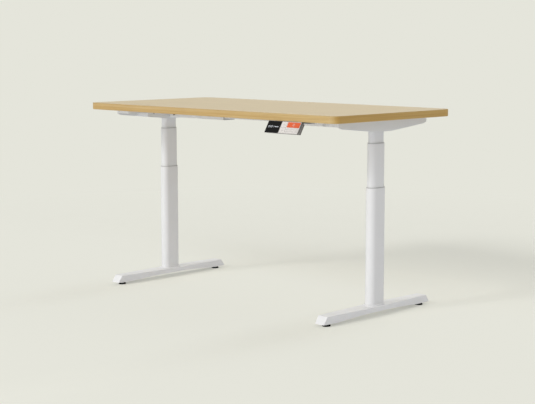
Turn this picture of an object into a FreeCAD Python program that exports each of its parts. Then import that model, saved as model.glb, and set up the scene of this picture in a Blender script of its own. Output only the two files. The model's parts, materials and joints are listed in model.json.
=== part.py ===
import FreeCAD, Part
import math
import os
import re
import Sketcher
from FreeCAD import Placement, Rotation, Vector

# Height adjustable standing desk: two three-stage columns on flat feet carry a crossbar, two side
# brackets and a wooden top, with a keypad under the front edge. Millimetres, +Z up, +Y to the back,
# floor at Z = 0, the origin under the middle of the outline.

os.makedirs("parts", exist_ok=True)
doc = FreeCAD.newDocument("standing_desk")

# ---------------------------------------------------------------- driving dimensions
SIZES = [
    # desktop
    ("desktop_wide", 1500),
    ("desktop_deep", 731),
    ("desktop_thick", 30),
    ("desktop_corner", 35),
    ("desktop_edge", 2),
    # feet
    ("foot_long", 672),
    ("foot_wide", 78),
    ("foot_tip", 47),
    ("foot_thick", 31),
    ("foot_bevel", 22),
    ("foot_under", 11.5),
    ("foot_arch", 11),
    ("foot_arch_long", 500),
    ("foot_wall", 3),
    ("foot_edge", 1.5),
    ("end_block", 25),
    # levelling feet
    ("leveller_spacing", 590),
    ("pad_radius", 17),
    ("pad_thick", 4.5),
    ("pad_edge", 1.2),
    ("stud_radius", 4),
    ("stud_collar", 7.5),
    ("stud_collar_thick", 5),
    ("stud_gap", 0.1),
    # columns
    ("column_spacing", 1272),
    ("column_back", 13),
    ("column_deep", 90),
    ("column_wide", 50),
    ("column_round", 24),
    ("tube_wall", 2),
    ("stage_gap", 1.5),
    ("flange_thick", 5),
    ("flange_rim", 6),
    # column travel
    ("lower_drop", 171),
    ("lower_rise", 179),
    ("lower_hold", 123.5),
    ("upper_drop", 40),
    ("stop_gap", 7),
    # collars and glides
    ("collar_thick", 3),
    ("collar_inset", 1),
    ("collar_skirt", 20),
    ("slide_gap", 0.4),
    ("fit_gap", 0.1),
    ("glide_long", 40),
    # telescopic screw drive
    ("screw_radius", 6),
    ("screw_gap", 0.6),
    ("screw_tube_wall", 3.2),
    ("screw_plate", 12),
    ("drive_tube_wall", 3),
    # foot bolts
    ("bolt_radius", 4),
    ("bolt_head_radius", 6.5),
    ("bolt_head_tall", 5),
    ("bolt_apart_x", 28),
    ("bolt_apart_y", 60),
    ("bolt_short", 0.5),
    # side brackets
    ("bracket_tall", 50),
    ("bracket_wide", 82),
    ("bracket_long", 554),
    ("bracket_flat", 96),
    ("bracket_rise", 21),
    ("bracket_nose", 18),
    ("bracket_tip", 22),
    ("bracket_open", 112),
    ("bracket_lip", 20),
    ("bracket_wall", 2.5),
    ("tab_long", 34),
    ("tab_inset", 62),
    # crossbar
    ("rail_deep", 66),
    ("rail_tall", 43.5),
    ("rail_wall", 2.5),
    ("rail_mouth", 228),
    ("rail_overlap", 80),
    ("rail_gap", 0.3),
    ("rail_step", 5.5),
    ("cap_thick", 6),
    # drive units
    ("gearbox_wide", 60),
    ("gearbox_deep", 56),
    ("gearbox_tall", 38),
    ("gearbox_edge", 4),
    ("motor_long", 110),
    ("motor_clear", 1),
    ("motor_headroom", 4),
    # small screws
    ("rail_screw_radius", 3),
    ("rail_screw_head", 5.8),
    ("rail_screw_long", 6),
    ("rail_screw_end", 36),
    ("rail_screw_drop", 29.5),
    ("side_screw_radius", 2.5),
    ("side_screw_head", 4.5),
    ("side_screw_apart", 256),
    ("side_screw_drop", 24),
    ("head_thick", 2.5),
    ("socket_radius", 2),
    ("socket_deep", 1.5),
    ("wood_screw_radius", 2.5),
    ("wood_screw_head", 5),
    ("wood_screw_long", 16),
    ("wood_screw_apart", 40),
    # control box
    ("box_wide", 280),
    ("box_deep", 90),
    ("box_tall", 36),
    ("box_edge", 4),
    ("box_back", 150),
    ("inlet_wide", 28),
    ("inlet_tall", 20),
    ("inlet_deep", 20),
    ("inlet_rim", 2),
    ("inlet_recess", 17),
    ("inlet_side", 90),
    # handset
    ("handset_wide", 179),
    ("handset_tall", 54),
    ("handset_thick", 20),
    ("handset_tilt", 31.3),
    ("handset_inset", 261.5),
    ("handset_edge", 1.5),
    ("handset_undercut", 8),
    ("handset_gap", 0.3),
    ("base_wide", 110),
    ("base_foot", 45),
    ("base_tall", 36),
    ("base_nose", 4),
    ("plate_wide", 181),
    ("plate_shift", 24),
    ("plate_deep", 45),
    ("plate_back", 10),
    ("plate_thick", 5),
    ("window_wide", 75),
    ("window_thick", 1.6),
    ("face_margin", 1.2),
    ("key_gap", 0.4),
    ("key_rib", 1.5),
    ("key_proud", 0.5),
    ("key_deep", 3.5),
    ("key_travel", 1),
    ("arrow_key_wide", 30),
    ("large_key_tall", 23.4),
]

sheet = doc.addObject("Spreadsheet::Sheet", "sizes")
for row, (alias, amount) in enumerate(SIZES, 1):
    sheet.set("A%d" % row, alias)
    sheet.set("B%d" % row, str(amount))
    sheet.setAlias("B%d" % row, alias)
doc.recompute()

SIZE_WORD = re.compile(r"\b(%s)\b" % "|".join(alias for alias, amount in SIZES))


def bound(text):
    """An expression on the sheet's cells, from one written with their aliases alone."""
    return SIZE_WORD.sub(r"sizes.\1", str(text))


def number(text):
    """What such an expression comes to now."""
    return float(sheet.evalExpression(bound(text)))


# ---------------------------------------------------------------- levels and places
DESK_Y = "(handset_tall * sin(handset_tilt * 1 deg) / 2)"
COLUMN_Y = "(%s + column_back)" % DESK_Y
FOOT_TOP = "(foot_under + foot_thick)"
FLANGE_TOP = "(%s + flange_thick)" % FOOT_TOP
OUTER_TUBE_LONG = "(stop_gap + lower_drop + lower_rise + lower_hold)"
OUTER_TOP = "(%s + %s)" % (FLANGE_TOP, OUTER_TUBE_LONG)
MIDDLE_BOTTOM = "(%s + lower_drop + stop_gap)" % FLANGE_TOP
MIDDLE_TOP = "(%s + collar_thick + lower_drop + stop_gap)" % OUTER_TOP
INNER_BOTTOM = "(%s + screw_plate + upper_drop + stop_gap)" % MIDDLE_BOTTOM
BRACKET_UNDER = "(%s + collar_thick + upper_drop + stop_gap)" % MIDDLE_TOP
DESKTOP_UNDER = "(%s + bracket_tall)" % BRACKET_UNDER
INNER_TOP = "(%s + bracket_wall + 2 * rail_gap)" % BRACKET_UNDER
BRACKET_INNER_X = "(column_spacing / 2 - bracket_wide / 2)"

# Step in from the outside of the outer tube to each nested face of the column.
MIDDLE_STEP = "(tube_wall + stage_gap)"
INNER_STEP = "(2 * tube_wall + 2 * stage_gap)"

made = []


# ---------------------------------------------------------------- modelling helpers
def new_body(label, x="0", y="0", z="0"):
    body = doc.addObject("PartDesign::Body", label)
    body.Label = label
    for axis, text in zip("xyz", (x, y, z)):
        body.setExpression("Placement.Base." + axis, bound(text))
    made.append(body)
    return body


def new_sketch(body, plane, lift="0"):
    sketch = body.newObject("Sketcher::SketchObject", body.Label + "_sketch")
    origin_plane = next(f for f in body.Origin.OriginFeatures if f.Role == plane + "_Plane")
    sketch.AttachmentSupport = [(origin_plane, "")]
    sketch.MapMode = "FlatFace"
    sketch.setExpression("AttachmentOffset.Base.z", bound(lift))
    return sketch


def hold(sketch, kind, text, *spot):
    """One dimension of a sketch, tied to the sheet."""
    index = sketch.addConstraint(Sketcher.Constraint(kind, *spot, number(text)))
    sketch.setExpression("Constraints[%d]" % index, bound(text))


def place_point(sketch, edge, end, x, y):
    hold(sketch, "DistanceX", x, -1, 1, edge, end)
    hold(sketch, "DistanceY", y, -1, 1, edge, end)


def outline(sketch, points):
    """A closed outline of straight edges through points, each a pair of expressions."""
    first = sketch.GeometryCount
    spots = [Vector(number(x), number(y), 0) for x, y in points]
    count = len(spots)
    for i in range(count):
        sketch.addGeometry(Part.LineSegment(spots[i], spots[(i + 1) % count]))
    for i in range(count):
        next_edge = first + (i + 1) % count
        sketch.addConstraint(Sketcher.Constraint("Coincident", first + i, 2, next_edge, 1))
    for i, (x, y) in enumerate(points):
        place_point(sketch, first + i, 1, x, y)


def rectangle(sketch, x_low, x_high, y_low, y_high):
    outline(sketch, [(x_low, y_low), (x_high, y_low), (x_high, y_high), (x_low, y_high)])


def centred_rectangle(sketch, wide, deep, x="0", y="0"):
    half_x = "(%s) / 2" % wide
    half_y = "(%s) / 2" % deep
    rectangle(sketch, "%s - %s" % (x, half_x), "%s + %s" % (x, half_x),
              "%s - %s" % (y, half_y), "%s + %s" % (y, half_y))


def circle(sketch, radius, x="0", y="0"):
    spot = Vector(number(x), number(y), 0)
    edge = sketch.addGeometry(Part.Circle(spot, Vector(0, 0, 1), number(radius)))
    place_point(sketch, edge, 3, x, y)
    hold(sketch, "Radius", radius, edge)


def rounded(sketch, wide, deep, corner):
    """A rectangle about the sketch's origin with four round corners."""
    half_x = number(wide) / 2
    half_y = number(deep) / 2
    r = number(corner)
    up = Vector(0, 0, 1)
    first = sketch.GeometryCount
    corners = [(1, -1), (1, 1), (-1, 1), (-1, -1)]
    starts = [Vector(-half_x + r, -half_y, 0), Vector(half_x, -half_y + r, 0),
              Vector(half_x - r, half_y, 0), Vector(-half_x, half_y - r, 0)]
    ends = [Vector(half_x - r, -half_y, 0), Vector(half_x, half_y - r, 0),
            Vector(-half_x + r, half_y, 0), Vector(-half_x, -half_y + r, 0)]
    for i, (x, y) in enumerate(corners):
        middle = Vector(x * (half_x - r), y * (half_y - r), 0)
        turn = (i - 1) * math.pi / 2
        sketch.addGeometry(Part.LineSegment(starts[i], ends[i]))
        sketch.addGeometry(Part.ArcOfCircle(Part.Circle(middle, up, r), turn, turn + math.pi / 2))
    for i in range(4):
        line = first + 2 * i
        arc = line + 1
        after = first + (2 * i + 2) % 8
        sketch.addConstraint(Sketcher.Constraint("Tangent", line, 2, arc, 1))
        sketch.addConstraint(Sketcher.Constraint("Tangent", arc, 2, after, 1))
        sketch.addConstraint(Sketcher.Constraint("Vertical" if i % 2 else "Horizontal", line))
    for i in range(1, 4):
        sketch.addConstraint(Sketcher.Constraint("Equal", first + 1, first + 2 * i + 1))
    hold(sketch, "Radius", corner, first + 1)
    hold(sketch, "DistanceY", "-(%s) / 2" % deep, -1, 1, first, 1)
    hold(sketch, "DistanceX", "(%s) / 2" % wide, -1, 1, first + 2, 1)
    hold(sketch, "DistanceY", "(%s) / 2" % deep, -1, 1, first + 4, 1)
    hold(sketch, "DistanceX", "-(%s) / 2" % wide, -1, 1, first + 6, 1)


def bow(sketch, span, rise, base):
    """The area between a level line and the shallow arch that stands on it."""
    half, tall = number(span) / 2, number(rise)
    radius = "(((%s) / 2) * ((%s) / 2) + %s * %s) / (2 * %s)" % (span, span, rise, rise, rise)
    drop = number(radius) - tall
    lean = math.atan2(drop, half)
    middle = Vector(0, number(base) - drop, 0)
    ring = Part.Circle(middle, Vector(0, 0, 1), number(radius))
    arc = sketch.addGeometry(Part.ArcOfCircle(ring, lean, math.pi - lean))
    ends = [Vector(-half, number(base), 0), Vector(half, number(base), 0)]
    line = sketch.addGeometry(Part.LineSegment(*ends))
    sketch.addConstraint(Sketcher.Constraint("Coincident", arc, 2, line, 1))
    sketch.addConstraint(Sketcher.Constraint("Coincident", line, 2, arc, 1))
    place_point(sketch, line, 1, "-(%s) / 2" % span, base)
    place_point(sketch, line, 2, "(%s) / 2" % span, base)
    hold(sketch, "Radius", radius, arc)


def column_ring(sketch, step):
    """The column's section, taken in by step from the outside of the outer tube."""
    rounded(sketch, "column_wide - 2 * %s" % step, "column_deep - 2 * %s" % step,
            "column_round - %s" % step)


def pad(body, sketch, length, symmetric=False, backwards=False):
    feature = body.newObject("PartDesign::Pad", body.Label + "_pad")
    feature.Profile = sketch
    feature.SideType = "Symmetric" if symmetric else "One side"
    feature.Reversed = backwards
    feature.setExpression("Length", bound(length))
    return feature


def pocket(body, sketch, depth, symmetric=False, backwards=False):
    """A cut that has to take something away."""
    doc.recompute()
    before = body.Shape.Volume
    feature = body.newObject("PartDesign::Pocket", body.Label + "_pocket")
    feature.Profile = sketch
    feature.SideType = "Symmetric" if symmetric else "One side"
    feature.Reversed = backwards
    feature.setExpression("Length", bound(depth))
    doc.recompute()
    if body.Shape.Volume > before - 0.001:
        raise ValueError("a pocket of %s cuts nothing" % body.Label)
    return feature


def soften(body, radius, wanted, kind="Fillet"):
    """Round (or chamfer) the edges of the body that the test picks out."""
    doc.recompute()
    last = body.Tip
    names = ["Edge%d" % (i + 1) for i, edge in enumerate(last.Shape.Edges) if wanted(edge)]
    feature = body.newObject("PartDesign::" + kind, body.Label + "_edges")
    feature.Base = (last, names)
    feature.setExpression("Radius" if kind == "Fillet" else "Size", bound(radius))
    return feature


def level(edge, z):
    """Whether an edge lies flat at the height z of its body."""
    box = edge.BoundBox
    return abs(box.ZMin - number(z)) < 0.01 and abs(box.ZMax - number(z)) < 0.01


def stand(label, radius, bottom, top, x="0", y="0"):
    """A round bar standing between two levels."""
    body = new_body(label, x, y)
    sketch = new_sketch(body, "XY", bottom)
    circle(sketch, radius)
    pad(body, sketch, "%s - %s" % (top, bottom))
    return body


# ---------------------------------------------------------------- foot and levelling feet
def foot(side, x):
    body = new_body(side + "_foot", x, COLUMN_Y)
    plan = new_sketch(body, "XY", "foot_under")
    wide, tip, end = "foot_wide / 2", "foot_tip / 2", "foot_long / 2"
    outline(plan, [("-" + wide, "0"), ("-" + tip, "-" + end), (tip, "-" + end),
                   (wide, "0"), (tip, end), ("-" + tip, end)])
    pad(body, plan, "foot_thick")

    bevels = new_sketch(body, "YZ")
    for way in ("", "-"):
        outline(bevels, [(way + end, "foot_under"), (way + end, FOOT_TOP),
                         ("%s(%s - foot_bevel)" % (way, end), FOOT_TOP)])
    pocket(body, bevels, "foot_wide", symmetric=True)
    soften(body, "foot_edge", lambda edge: level(edge, FOOT_TOP))
    arch = new_sketch(body, "YZ")
    bow(arch, "foot_arch_long", "foot_arch", "foot_under")
    pocket(body, arch, "foot_wide", symmetric=True)

    hollow_end = "(leveller_spacing / 2 - end_block)"
    taper = "((foot_wide - foot_tip) / 2 * %s / (foot_long / 2))" % hollow_end
    inner = "(foot_wide / 2 - foot_wall)"
    hollow = new_sketch(body, "XY", "foot_under")
    outline(hollow, [("-" + inner, "0"),
                     ("-(%s - %s)" % (inner, taper), "-" + hollow_end),
                     ("%s - %s" % (inner, taper), "-" + hollow_end),
                     (inner, "0"),
                     ("%s - %s" % (inner, taper), hollow_end),
                     ("-(%s - %s)" % (inner, taper), hollow_end)])
    pocket(body, hollow, "foot_thick - foot_wall", backwards=True)

    studs = new_sketch(body, "XY", "foot_under")
    for way in ("", "-"):
        circle(studs, "stud_radius + stud_gap", "0", way + "leveller_spacing / 2")
    pocket(body, studs, "foot_thick - foot_wall", backwards=True)

    bolts = new_sketch(body, "XY", FOOT_TOP)
    for way_x in ("", "-"):
        for way_y in ("", "-"):
            circle(bolts, "bolt_radius + fit_gap", way_x + "bolt_apart_x / 2",
                   way_y + "bolt_apart_y / 2")
    pocket(body, bolts, "foot_wall")


def levelling_foot(side, end, x, way):
    place_y = "%s %s leveller_spacing / 2" % (COLUMN_Y, way)
    name = "%s_%s_" % (side, end)
    base = new_body(name + "pad", x, place_y)
    disc = new_sketch(base, "XY")
    circle(disc, "pad_radius")
    pad(base, disc, "pad_thick")
    soften(base, "pad_edge", lambda edge: level(edge, "pad_thick"))

    stud = new_body(name + "stud", x, place_y)
    collar = new_sketch(stud, "XY", "pad_thick")
    flat = "stud_collar"
    point = "stud_collar * tan(30 deg)"
    outline(collar, [("-" + flat, "-" + point), ("0", "-2 * " + point), (flat, "-" + point),
                     (flat, point), ("0", "2 * " + point), ("-" + flat, point)])
    pad(stud, collar, "stud_collar_thick")
    rod = new_sketch(stud, "XY", "pad_thick")
    circle(rod, "stud_radius")
    pad(stud, rod, "%s - foot_wall - stop_gap / 2 - pad_thick" % FOOT_TOP)


# ---------------------------------------------------------------- column stages
def column_base(side, x):
    """What stands still on the foot: flange, bolts, outer tube, its collar and the base screw."""
    flange = new_body(side + "_column_flange", x, COLUMN_Y)
    plate = new_sketch(flange, "XY", FOOT_TOP)
    rounded(plate, "column_wide + 2 * flange_rim", "column_deep + 2 * flange_rim",
            "column_round + flange_rim")
    pad(flange, plate, "flange_thick")
    soften(flange, "foot_edge", lambda edge: level(edge, FLANGE_TOP))
    holes = new_sketch(flange, "XY", FOOT_TOP)
    bolts = new_body(side + "_foot_bolts", x, COLUMN_Y)
    heads = new_sketch(bolts, "XY", "%s - foot_wall" % FOOT_TOP)
    shanks = new_sketch(bolts, "XY", "%s - foot_wall" % FOOT_TOP)
    for way_x in ("", "-"):
        for way_y in ("", "-"):
            spot = (way_x + "bolt_apart_x / 2", way_y + "bolt_apart_y / 2")
            circle(holes, "bolt_radius + fit_gap / 2", *spot)
            circle(heads, "bolt_head_radius", *spot)
            circle(shanks, "bolt_radius", *spot)
    pocket(flange, holes, "flange_thick", backwards=True)
    pad(bolts, heads, "bolt_head_tall", backwards=True)
    pad(bolts, shanks, "foot_wall + flange_thick - bolt_short")

    tube = new_body(side + "_outer_tube", x, COLUMN_Y)
    ring = new_sketch(tube, "XY", FLANGE_TOP)
    column_ring(ring, "0")
    column_ring(ring, "tube_wall")
    pad(tube, ring, OUTER_TUBE_LONG)
    collar(side + "_outer_collar", x, OUTER_TOP, "0")
    stand(side + "_base_screw", "screw_radius", FLANGE_TOP,
          "%s - collar_skirt - stop_gap" % OUTER_TOP, x, COLUMN_Y)


def collar(label, x, seat, step):
    """Guide ring in the mouth of a tube: a lip on its end and a skirt inside its wall."""
    body = new_body(label, x, COLUMN_Y)
    opening = "(%s + tube_wall + stage_gap - slide_gap)" % step
    lip = new_sketch(body, "XY", seat)
    column_ring(lip, "(%s + collar_inset)" % step)
    column_ring(lip, opening)
    pad(body, lip, "collar_thick")
    skirt = new_sketch(body, "XY", seat)
    column_ring(skirt, "(%s + tube_wall + fit_gap)" % step)
    column_ring(skirt, opening)
    pad(body, skirt, "collar_skirt", backwards=True)


def glides(body, bottom, step):
    """A slippery sleeve around the lower end of a tube whose outside is step in."""
    sleeve = new_sketch(body, "XY", "%s + stop_gap" % bottom)
    column_ring(sleeve, "(%s - stage_gap + slide_gap)" % step)
    column_ring(sleeve, step)
    pad(body, sleeve, "glide_long")


def middle_stage(side, x):
    """What travels in the outer tube."""
    tube = new_body(side + "_middle_tube", x, COLUMN_Y)
    ring = new_sketch(tube, "XY", MIDDLE_BOTTOM)
    column_ring(ring, MIDDLE_STEP)
    column_ring(ring, "(%s + tube_wall)" % MIDDLE_STEP)
    pad(tube, ring, "%s - %s" % (MIDDLE_TOP, MIDDLE_BOTTOM))
    collar(side + "_middle_collar", x, MIDDLE_TOP, MIDDLE_STEP)
    glides(new_body(side + "_lower_glides", x, COLUMN_Y), MIDDLE_BOTTOM, MIDDLE_STEP)

    screw = new_body(side + "_middle_screw", x, COLUMN_Y)
    plate = new_sketch(screw, "XY", MIDDLE_BOTTOM)
    column_ring(plate, "(%s + tube_wall)" % MIDDLE_STEP)
    circle(plate, "screw_radius + screw_gap")
    pad(screw, plate, "screw_plate")
    sleeve = new_sketch(screw, "XY", "%s + screw_plate" % MIDDLE_BOTTOM)
    circle(sleeve, "screw_radius + screw_gap + screw_tube_wall")
    circle(sleeve, "screw_radius + screw_gap")
    pad(screw, sleeve, "%s - stop_gap - screw_plate - %s" % (MIDDLE_TOP, MIDDLE_BOTTOM))


def inner_stage(side, x):
    """What travels in the middle tube and carries the bracket."""
    tube = new_body(side + "_inner_tube", x, COLUMN_Y)
    ring = new_sketch(tube, "XY", INNER_BOTTOM)
    column_ring(ring, INNER_STEP)
    column_ring(ring, "(%s + tube_wall)" % INNER_STEP)
    pad(tube, ring, "%s - %s" % (INNER_TOP, INNER_BOTTOM))
    glides(new_body(side + "_upper_glides", x, COLUMN_Y), INNER_BOTTOM, INNER_STEP)

    drive = new_body(side + "_drive_tube", x, COLUMN_Y)
    bore = "(screw_radius + 2 * screw_gap + screw_tube_wall)"
    ring = new_sketch(drive, "XY", INNER_BOTTOM)
    circle(ring, "%s + drive_tube_wall" % bore)
    circle(ring, bore)
    pad(drive, ring, "%s - %s" % (INNER_TOP, INNER_BOTTOM))


# ---------------------------------------------------------------- brackets and crossbar
def side_bracket(side, x, way):
    """Boat shaped channel, open at the top, with two screw tabs under the desktop.

    Near both ends only the outer wall runs down to the floor of the channel. The end wall and the
    inner wall are shallow lips there, the floor between them is left away, and a web closes the
    channel where its floor begins.
    """
    body = new_body(side + "_side_bracket", x, COLUMN_Y)
    half = "bracket_long / 2"
    low = "bracket_flat / 2"

    def profile(sketch, wall):
        left = [("-(%s - %s)" % (half, wall), DESKTOP_UNDER),
                ("-(%s - %s)" % (half, wall), "%s - bracket_tip + %s / 2" % (DESKTOP_UNDER, wall)),
                ("-(%s - bracket_nose)" % half, "%s + bracket_rise + %s" % (BRACKET_UNDER, wall)),
                ("-" + low, "%s + %s" % (BRACKET_UNDER, wall))]
        right = [(y[1:], z) for y, z in reversed(left)]
        outline(sketch, left + right)

    shape = new_sketch(body, "YZ")
    profile(shape, "0")
    pad(body, shape, "bracket_wide", symmetric=True)
    hollow = new_sketch(body, "YZ")
    profile(hollow, "bracket_wall")
    pocket(body, hollow, "bracket_wide - 2 * bracket_wall", symmetric=True)

    mouth = new_sketch(body, "XY", "%s - bracket_lip" % DESKTOP_UNDER)
    inward = "" if way == "-" else "-"
    for end in ("", "-"):
        centred_rectangle(mouth, "bracket_wide - bracket_wall", "bracket_open",
                          inward + "bracket_wall / 2", "%s(%s - bracket_open / 2)" % (end, half))
    pocket(body, mouth, "bracket_tall")
    webs = new_sketch(body, "XY", DESKTOP_UNDER)
    begin = "(%s - bracket_open)" % half
    for end in ("", "-"):
        centred_rectangle(webs, "bracket_wide - bracket_wall", "bracket_wall",
                          "0", "%s(%s - bracket_wall / 2)" % (end, begin))
    slope = "bracket_rise * (%s - %s) / (%s - bracket_nose - %s)" % (begin, low, half, low)
    pad(body, webs, "bracket_tall - %s - bracket_wall / 2" % slope, backwards=True)

    seat = new_sketch(body, "XY", "%s - bracket_wall" % BRACKET_UNDER)
    column_ring(seat, "(%s - fit_gap)" % INNER_STEP)
    pocket(body, seat, "2 * bracket_wall", backwards=True)

    door = new_sketch(body, "YZ")
    circle(door, MOTOR_RADIUS + " + 1", "0", MOTOR_Z)
    for end in ("", "-"):
        circle(door, "side_screw_radius + fit_gap", end + "side_screw_apart / 2", SIDE_SCREW_Z)
    pocket(body, door, "bracket_wide / 2", backwards=way == "-")

    tabs = new_sketch(body, "XY", "%s - bracket_wall" % DESKTOP_UNDER)
    for way in ("", "-"):
        middle = "%s(%s - tab_inset)" % (way, half)
        centred_rectangle(tabs, "bracket_wide - 2 * bracket_wall", "tab_long", "0", middle)
    pad(body, tabs, "bracket_wall")
    holes = new_sketch(body, "XY", DESKTOP_UNDER)
    for spot in tab_screws():
        circle(holes, "wood_screw_radius + fit_gap", *spot)
    pocket(body, holes, "bracket_wall")


def tab_screws():
    """The four wood screws of one bracket, about its column."""
    return [(way_x + "wood_screw_apart / 2", way_y + "(bracket_long / 2 - tab_inset)")
            for way_x in ("", "-") for way_y in ("", "-")]


def outer_rail(side, way):
    """Crossbar half: a square tube from the bracket inwards, open at both ends."""
    body = new_body(side + "_outer_rail", "0", COLUMN_Y)
    section = new_sketch(body, "YZ", "%s%s" % (way, BRACKET_INNER_X))
    middle = "%s - rail_tall / 2" % DESKTOP_UNDER
    centred_rectangle(section, "rail_deep", "rail_tall", "0", middle)
    centred_rectangle(section, "rail_deep - 2 * rail_wall", "rail_tall - 2 * rail_wall", "0", middle)
    pad(body, section, "%s - rail_mouth" % BRACKET_INNER_X, backwards=way == "")

    holes = new_sketch(body, "XZ")
    circle(holes, "rail_screw_radius + fit_gap", way + RAIL_SCREW_X, RAIL_SCREW_Z)
    pocket(body, holes, "rail_deep", backwards=True)


RAIL_SCREW_X = "(%s - rail_screw_end)" % BRACKET_INNER_X
RAIL_SCREW_Z = "(%s - rail_screw_drop)" % DESKTOP_UNDER
SIDE_SCREW_Z = "(%s - side_screw_drop)" % DESKTOP_UNDER
# The motor lies in the hollow of the outer rail and fills its height.
MOTOR_RADIUS = "((rail_tall - rail_wall - motor_clear - motor_headroom) / 2)"
MOTOR_Z = "(%s - motor_headroom - %s)" % (DESKTOP_UNDER, MOTOR_RADIUS)


def crossbar():
    inner = new_body("inner_rail", "0", COLUMN_Y)
    section = new_sketch(inner, "YZ")
    middle = "%s - rail_tall / 2" % DESKTOP_UNDER
    lifted = "%s + rail_step / 2" % middle
    slack = "2 * rail_wall - 2 * rail_gap"
    centred_rectangle(section, "rail_deep - %s" % slack, "rail_tall - rail_step - %s" % slack,
                      "0", lifted)
    slack = "4 * rail_wall - 2 * rail_gap"
    centred_rectangle(section, "rail_deep - %s" % slack, "rail_tall - rail_step - %s" % slack,
                      "0", lifted)
    pad(inner, section, "2 * (rail_mouth + rail_overlap)", symmetric=True)

    caps = new_body("rail_end_caps", "0", COLUMN_Y)
    for way in ("", "-"):
        ring = new_sketch(caps, "YZ", way + "rail_mouth")
        centred_rectangle(ring, "rail_deep", "rail_tall", "0", middle)
        opening = "2 * rail_wall - rail_gap"
        centred_rectangle(ring, "rail_deep - %s" % opening,
                          "rail_tall - rail_step - %s" % opening, "0", lifted)
        pad(caps, ring, "cap_thick", backwards=way == "")

    screws = new_body("rail_screws", "0", COLUMN_Y)
    front = "rail_deep / 2"
    for way in ("", "-"):
        shank = new_sketch(screws, "XZ", "%s - rail_wall - rail_screw_long" % front)
        circle(shank, "rail_screw_radius", way + RAIL_SCREW_X, RAIL_SCREW_Z)
        pad(screws, shank, "rail_wall + rail_screw_long")
        head = new_sketch(screws, "XZ", front)
        circle(head, "rail_screw_head", way + RAIL_SCREW_X, RAIL_SCREW_Z)
        pad(screws, head, "head_thick")
    sockets = new_sketch(screws, "XZ", "%s + head_thick" % front)
    for way in ("", "-"):
        circle(sockets, "socket_radius", way + RAIL_SCREW_X, RAIL_SCREW_Z)
    pocket(screws, sockets, "socket_deep")

    for way in ("", "-"):
        heads = new_sketch(screws, "YZ", way + BRACKET_INNER_X)
        shanks = new_sketch(screws, "YZ", way + BRACKET_INNER_X)
        for end in ("", "-"):
            circle(heads, "side_screw_head", end + "side_screw_apart / 2", SIDE_SCREW_Z)
            circle(shanks, "side_screw_radius", end + "side_screw_apart / 2", SIDE_SCREW_Z)
        pad(screws, heads, "head_thick", backwards=way == "")
        pad(screws, shanks, "bracket_wall + rail_screw_long", backwards=way == "-")


def wood_screws():
    body = new_body("bracket_screws", "0", COLUMN_Y)
    under = "%s - bracket_wall" % DESKTOP_UNDER
    heads = new_sketch(body, "XY", under)
    shanks = new_sketch(body, "XY", under)
    for way in ("", "-"):
        for x, y in tab_screws():
            spot = ("%scolumn_spacing / 2 + %s" % (way, x), y)
            circle(heads, "wood_screw_head", *spot)
            circle(shanks, "wood_screw_radius", *spot)
    pad(body, heads, "head_thick", backwards=True)
    pad(body, shanks, "bracket_wall + wood_screw_long")


# ---------------------------------------------------------------- desktop
def desktop():
    body = new_body("desktop", "0", DESK_Y)
    plan = new_sketch(body, "XY", DESKTOP_UNDER)
    rounded(plan, "desktop_wide", "desktop_deep", "desktop_corner")
    pad(body, plan, "desktop_thick")
    soften(body, "desktop_edge", lambda edge: edge.BoundBox.ZLength < 0.01)
    holes = new_sketch(body, "XY", DESKTOP_UNDER)
    for way in ("", "-"):
        for x, y in tab_screws():
            circle(holes, "wood_screw_radius + fit_gap / 2",
                   "%scolumn_spacing / 2 + %s" % (way, x), "column_back + %s" % y)
    pocket(body, holes, "wood_screw_long + fit_gap", backwards=True)


# ---------------------------------------------------------------- motors, gearboxes, control box
def drive_unit(side, x, way):
    box = new_body(side + "_gearbox", x, COLUMN_Y)
    plan = new_sketch(box, "XY", INNER_TOP)
    centred_rectangle(plan, "gearbox_wide", "gearbox_deep")
    pad(box, plan, "gearbox_tall")
    soften(box, "gearbox_edge", lambda edge: edge.BoundBox.ZLength > 1)

    motor = new_body(side + "_motor", x, COLUMN_Y)
    end = new_sketch(motor, "YZ", "%s(gearbox_wide / 2)" % way)
    circle(end, MOTOR_RADIUS, "0", MOTOR_Z)
    pad(motor, end, "motor_long", backwards=way == "-")


BOX_Y = "(%s + box_back)" % DESK_Y


def control_box():
    body = new_body("control_box", "0", BOX_Y)
    plan = new_sketch(body, "XY", "%s - box_tall" % DESKTOP_UNDER)
    centred_rectangle(plan, "box_wide", "box_deep")
    pad(body, plan, "box_tall")
    soften(body, "box_edge", lambda edge: edge.BoundBox.ZLength > 1)
    middle = "%s - box_tall / 2" % DESKTOP_UNDER
    seat = new_sketch(body, "XZ", "-box_deep / 2")
    centred_rectangle(seat, "inlet_wide", "inlet_tall", "inlet_side", middle)
    pocket(body, seat, "inlet_deep", backwards=True)

    inlet = new_body("mains_inlet", "0", BOX_Y)
    block = new_sketch(inlet, "XZ", "-box_deep / 2")
    centred_rectangle(block, "inlet_wide", "inlet_tall", "inlet_side", middle)
    pad(inlet, block, "inlet_deep")
    recess = new_sketch(inlet, "XZ", "-box_deep / 2")
    centred_rectangle(recess, "inlet_wide - 2 * inlet_rim", "inlet_tall - 2 * inlet_rim",
                      "inlet_side", middle)
    pocket(inlet, recess, "inlet_recess", backwards=True)


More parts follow.
